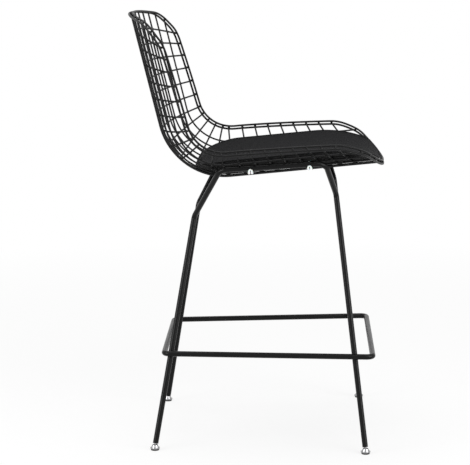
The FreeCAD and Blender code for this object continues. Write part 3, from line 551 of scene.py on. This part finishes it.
def weld_mesh():
    """Beads at the wire crossings, over and under each wire's end, and where the ring meets the legs."""
    long_x = (np.arange(LONG_WIRES) - 0.5 * (LONG_WIRES - 1)) * LONG_PITCH
    long_s = [node_places("long_wire_%02d" % (k + 1))[0] for k in range(LONG_WIRES)]
    first = np.array([s.min() for s in long_s]) + END_PAST
    last = np.array([s.max() for s in long_s]) - END_PAST
    cross = [node_places("cross_wire_%02d" % (k + 1)) for k in range(CROSS_WIRES)]
    reach = np.array([places[1].max() for places in cross]) - END_PAST
    end_s = np.array([places[0][np.argmax(places[1])] for places in cross])

    s = cross_places(long_x)
    x = np.broadcast_to(long_x, s.shape)
    inside = (s > first + RIM_WIRE) & (s < last - RIM_WIRE) & (np.abs(x) < reach[:, None] - RIM_WIRE)
    s, x = s[inside], x[inside]
    add_beads("crossing_welds", shell_point(s, x, 0.0), shell_ahead(s, x), shell_normal(s, x),
              CROSSING_BEAD)

    s = np.concatenate([first, last, end_s, end_s])
    x = np.concatenate([long_x, long_x, reach, -reach])
    lift = np.concatenate([np.full(2 * LONG_WIRES, LONG_LIFT), np.full(2 * CROSS_WIRES, CROSS_LIFT)])
    step = 0.5 * (MESH_WIRE + WELD_GAP)
    s, x = np.tile(s, 2), np.tile(x, 2)
    lift = np.concatenate([lift + step, lift - step])
    add_beads("rim_welds", shell_point(s, x, lift), shell_ahead(s, x), shell_normal(s, x),
              RIM_BEAD)

    way = LEG_WAISTS - LEG_FEET
    leg = LEG_FEET + way * ((RING_HEIGHT - BALL_HEIGHT) / way[:, 2:])
    leg = np.concatenate([leg, leg * [-1.0, 1.0, 1.0]])
    normal = np.sign(leg[:, :1]) * np.array([[1.0, 0.0, 0.0]])
    add_beads("ring_welds", leg + normal * RING_BEAD_OUT, np.tile([[0.0, 1.0, 0.0]], (len(leg), 1)), normal,
              RING_BEAD)


weld_mesh()


# Seat pad: a thin crowned cushion, blown up as cloth, with a welt sewn into its edge.

def rim_half(s, inset):
    """Half width of the front rim at s, less the inset.

    Side, corner and front are arcs that touch one another, and an inset shortens their radii. The
    corner's centre lies (side radius - corner radius) from the side's centre and (front radius - corner
    radius) from the front's, and the half width at s is the least of the arcs that reach s."""
    side_x = HALF_WIDTH - SIDE_RADIUS
    front_s = S_END - FRONT_RADIUS
    reach, span = SIDE_RADIUS - FRONT_CORNER, FRONT_RADIUS - FRONT_CORNER
    ahead, across = front_s - WIDEST_AT, -side_x
    apart = math.hypot(ahead, across)
    foot = (reach ** 2 - span ** 2 + apart ** 2) / (2.0 * apart)
    tall = math.sqrt(reach ** 2 - foot ** 2)
    corner_s = WIDEST_AT + (foot * ahead + tall * across) / apart
    corner_x = side_x + (foot * across - tall * ahead) / apart

    def arc(centre_s, centre_x, radius):
        return centre_x + np.sqrt(np.maximum((radius - inset) ** 2 - (s - centre_s) ** 2, 0.0))

    side_end = WIDEST_AT + SIDE_RADIUS * (corner_s - WIDEST_AT) / reach
    front_end = front_s + FRONT_RADIUS * (corner_s - front_s) / span
    side_end = side_end - inset * (corner_s - WIDEST_AT) / reach
    front_end = front_end - inset * (corner_s - front_s) / span
    return np.where(s < side_end, arc(WIDEST_AT, side_x, SIDE_RADIUS),
                    np.where(s < front_end, arc(corner_s, corner_x, FRONT_CORNER),
                             arc(front_s, 0.0, FRONT_RADIUS)))


def pad_place(share):
    """Length s of the pad's seam; share runs from 0 at its rear end to 1 at its front end."""
    return PAD_REAR + (S_END - PAD_INSET - PAD_REAR) * (PAD_ENDS[0] + (PAD_ENDS[1] - PAD_ENDS[0]) * share)


def pad_half(share):
    """Half width of the pad's seam: rounded corners, and within the rim in front.

    A corner widens as (1 - (1 - t)^n)^(1/n) over its share t of the length, from a flat part of the
    full half width."""
    rear_left = 1.0 - np.minimum(share / PAD_REAR_ROUND, 1.0)
    front_left = 1.0 - np.minimum((1.0 - share) / PAD_FRONT_ROUND, 1.0)
    rear = (1.0 - rear_left ** PAD_REAR_POWER) ** (1.0 / PAD_REAR_POWER)
    front = np.sqrt(1.0 - front_left ** 2)
    corners = PAD_HALF * np.minimum(PAD_REAR_FLAT + (1.0 - PAD_REAR_FLAT) * rear,
                                    PAD_FRONT_FLAT + (1.0 - PAD_FRONT_FLAT) * front)
    return np.minimum(corners, rim_half(pad_place(share), PAD_INSET))


def pad_form():
    """The pad before it is blown up: an underside on the wires and a crowned top that meet in a seam.

    Over the seam's plan (share along, u across) each side stands off the seam by its depth times
    sqrt(1 - |u|^m) sqrt(1 - |2 share - 1|^n), with m and n the powers across and along. The top has
    PAD_FILL of its full depth."""
    share = np.linspace(0.0, 1.0, PAD_ROWS)[:, None]
    share = share - PAD_GATHER * np.sin(2.0 * math.pi * share)
    even = np.linspace(0.0, 1.0, PAD_COLUMNS)[None, :]
    u = PAD_EVEN * (2.0 * even - 1.0) - (1.0 - PAD_EVEN) * np.cos(math.pi * even)
    across = np.sqrt(1.0 - np.abs(u) ** PAD_ACROSS_POWER)
    along = np.sqrt(np.maximum(1.0 - np.abs(2.0 * share - 1.0) ** PAD_ALONG_POWER, 0.0))
    swell = across * along
    crown = PAD_EDGE + (PAD_THICK - PAD_EDGE) * (1.0 - u * u) * np.sin(math.pi * share)
    s = pad_place(share)
    x = pad_half(share) * u
    under = shell_point(s, x, PAD_SEAM - (PAD_SEAM - PAD_LIFT) * swell)
    over = shell_point(s, x, PAD_SEAM + (crown - (PAD_SEAM - PAD_LIFT)) * swell * PAD_FILL)
    return np.concatenate([under, over[:, -2:0:-1]], axis=1)


def blown_up(source):
    """Blow the pad up as cloth and return its new mesh.

    The seam and the points less than PAD_HELD over the pad's lift stay where they are, and no other
    moves further than PAD_TRAVEL."""
    scene = bpy.context.scene
    mesh = source.data.copy()
    shape = bmesh.new()
    shape.from_mesh(mesh)
    bmesh.ops.remove_doubles(shape, verts=shape.verts, dist=PAD_MERGE)
    shape.to_mesh(mesh)
    shape.free()
    start = mesh_points(mesh)
    s, x, lift = shell_place(start)
    share = (s - pad_place(0.0)) / (pad_place(1.0) - pad_place(0.0))
    seam = np.abs(x) > PAD_SEAM_FROM * pad_half(np.clip(share, 0.0, 1.0))
    seam = seam | (np.abs(share - 0.5) > 0.5 * PAD_SEAM_FROM)
    dummy = bpy.data.objects.new("pad_cloth", mesh)
    scene.collection.objects.link(dummy)
    held = dummy.vertex_groups.new(name="held")
    held.add(np.flatnonzero(seam | (lift < PAD_LIFT + PAD_HELD)).tolist(), 1.0, "REPLACE")
    cloth = dummy.modifiers.new("cloth", "CLOTH")
    for key, value in CLOTH.items():
        setattr(cloth.settings, key, value)
    cloth.settings.vertex_group_mass = "held"
    cloth.settings.effector_weights.gravity = 0.0
    for step in range(1, CLOTH_FRAMES + 1):
        scene.frame_set(step)
    ready = dummy.evaluated_get(bpy.context.evaluated_depsgraph_get())
    move = mesh_points(ready.data) - start
    length = np.linalg.norm(move, axis=-1, keepdims=True)
    end = start + move * np.minimum(1.0, PAD_TRAVEL / np.maximum(length, TINY))
    bpy.data.objects.remove(dummy)
    scene.frame_set(1)
    mesh.vertices.foreach_set("co", end.ravel())
    return mesh


def kept_off_wires(mesh):
    """Raise any point that sank below the pad's lift over the shell."""
    s, x, lift = shell_place(mesh_points(mesh))
    mesh.vertices.foreach_set("co", shell_point(s, x, np.maximum(lift, PAD_LIFT)).ravel())
    mesh.update()


def seat_pad():
    """The pad's cover, in place of the CAD pad, and its welt."""
    form = pad_form()
    faces = grid_faces(PAD_ROWS, form.shape[1], close_columns=True)[:, ::-1]
    pad = add_piece("seat_cushion_cover", form, faces.tolist(),
                    FINISHES["leatherette"], "seat_cushion")
    mesh = blown_up(pad)
    kept_off_wires(mesh)
    mesh.materials.clear()
    mesh.materials.append(FINISHES["leatherette"])
    mesh.polygons.foreach_set("use_smooth", np.full(len(mesh.polygons), True))
    pad.data = mesh
    smoother = pad.modifiers.new("smoother", "SUBSURF")
    smoother.levels = 1
    smoother.render_levels = 1
    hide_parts("seat_pad")

    share = 0.5 - 0.5 * np.cos(np.linspace(0.0, math.pi, WELT_POINTS))
    s = pad_place(share)
    half = pad_half(share)
    rear = np.linspace(-half[0], half[0], WELT_END_POINTS + 2)[1:-1]
    front = np.linspace(half[-1], -half[-1], WELT_END_POINTS + 2)[1:-1]
    loop_s = np.concatenate([np.full(WELT_END_POINTS, s[0]), s, np.full(WELT_END_POINTS, s[-1]), s[::-1]])
    loop_x = np.concatenate([rear, half, front, -half[::-1]])
    path = shell_point(loop_s, loop_x, PAD_SEAM)
    add_piece("seat_cushion_welt", tube(path, WELT_RADIUS, WELT_SIDES),
              grid_faces(len(path), WELT_SIDES, True, True).tolist(),
              FINISHES["leatherette"], "seat_cushion")


seat_pad()


# Studio: pale floor, white surroundings, soft lamps.

def studio():
    """White surroundings, a pale floor that keeps the stool's shadow, and the lamps."""
    scene = bpy.context.scene
    scene.view_settings.view_transform = "Standard"

    air = Finish("studio_air", bpy.data.worlds)
    light = air.node("ShaderNodeBackground", {}, {"Color": grey(1.0), "Strength": WORLD_LIGHT})
    white = air.node("ShaderNodeBackground", {}, {"Color": grey(1.0), "Strength": 1.0})
    both = air.node("ShaderNodeMixShader", {}, {0: air.backdrop(), 1: light, 2: white})
    air.node("ShaderNodeOutputWorld", {}, {"Surface": both})
    scene.world = air.made

    paper = Finish("floor_paper")
    fibre = paper.noise(40.0, 2.0)
    matte = paper.node("ShaderNodeBsdfDiffuse", {}, {"Color": paper.mix(fibre, grey(0.84), grey(0.88))})
    glow = paper.node("ShaderNodeEmission", {}, {"Color": grey(1.0), "Strength": 1.0})
    far = paper.node("ShaderNodeVectorMath", {"operation": "LENGTH"}, {0: paper.place()}, "Value")
    share = FLOOR_WHITE + (1.0 - FLOOR_WHITE) * paper.clamped((far - FLOOR_NEAR) / FLOOR_FADE)
    face = paper.node("ShaderNodeMixShader", {}, {0: paper.backdrop() * share, 1: matte, 2: glow})
    paper.node("ShaderNodeOutputMaterial", {}, {"Surface": face})
    across = np.linspace(-FLOOR_HALF, FLOOR_HALF, 3)
    spots = np.stack(np.meshgrid(across, across, [0.0], indexing="ij"), axis=-1).reshape(-1, 3)
    mesh = bpy.data.meshes.new("floor")
    mesh.from_pydata(spots.tolist(), [], grid_faces(3, 3)[:, ::-1].tolist())
    mesh.materials.append(paper.made)
    floor = bpy.data.objects.new("floor", mesh)
    scene.collection.objects.link(floor)

    for name, place, size, power in LAMPS:
        data = bpy.data.lights.new(name, "AREA")
        data.shape = "SQUARE"
        data.size = size
        data.energy = power
        lamp = bpy.data.objects.new(name, data)
        lamp.location = place
        lamp.rotation_mode = "QUATERNION"
        lamp.rotation_quaternion = (LAMP_AIM - lamp.location).to_track_quat("-Z", "Y")
        scene.collection.objects.link(lamp)


def photo_camera():
    """The photograph's camera: looks along (cos p cos w, cos p sin w, -sin p), then rolls."""
    p, w, r = CAMERA_PITCH, CAMERA_YAW, CAMERA_ROLL
    ahead = Vector((math.cos(p) * math.cos(w), math.cos(p) * math.sin(w), -math.sin(p)))
    level = Vector((math.sin(w), -math.cos(w), 0.0))
    above = level.cross(ahead)
    right = math.cos(r) * level + math.sin(r) * above
    up = math.cos(r) * above - math.sin(r) * level
    data = bpy.data.cameras.new("photo_camera")
    data.sensor_width = CAMERA_SENSOR
    data.lens = CAMERA_LENS
    data.clip_end = CAMERA_FAR
    camera = bpy.data.objects.new("photo_camera", data)
    turn = Matrix((right, up, -ahead)).transposed()
    camera.matrix_world = Matrix.Translation(CAMERA_PLACE) @ turn.to_4x4()
    bpy.context.scene.collection.objects.link(camera)
    bpy.context.scene.camera = camera


studio()
photo_camera()
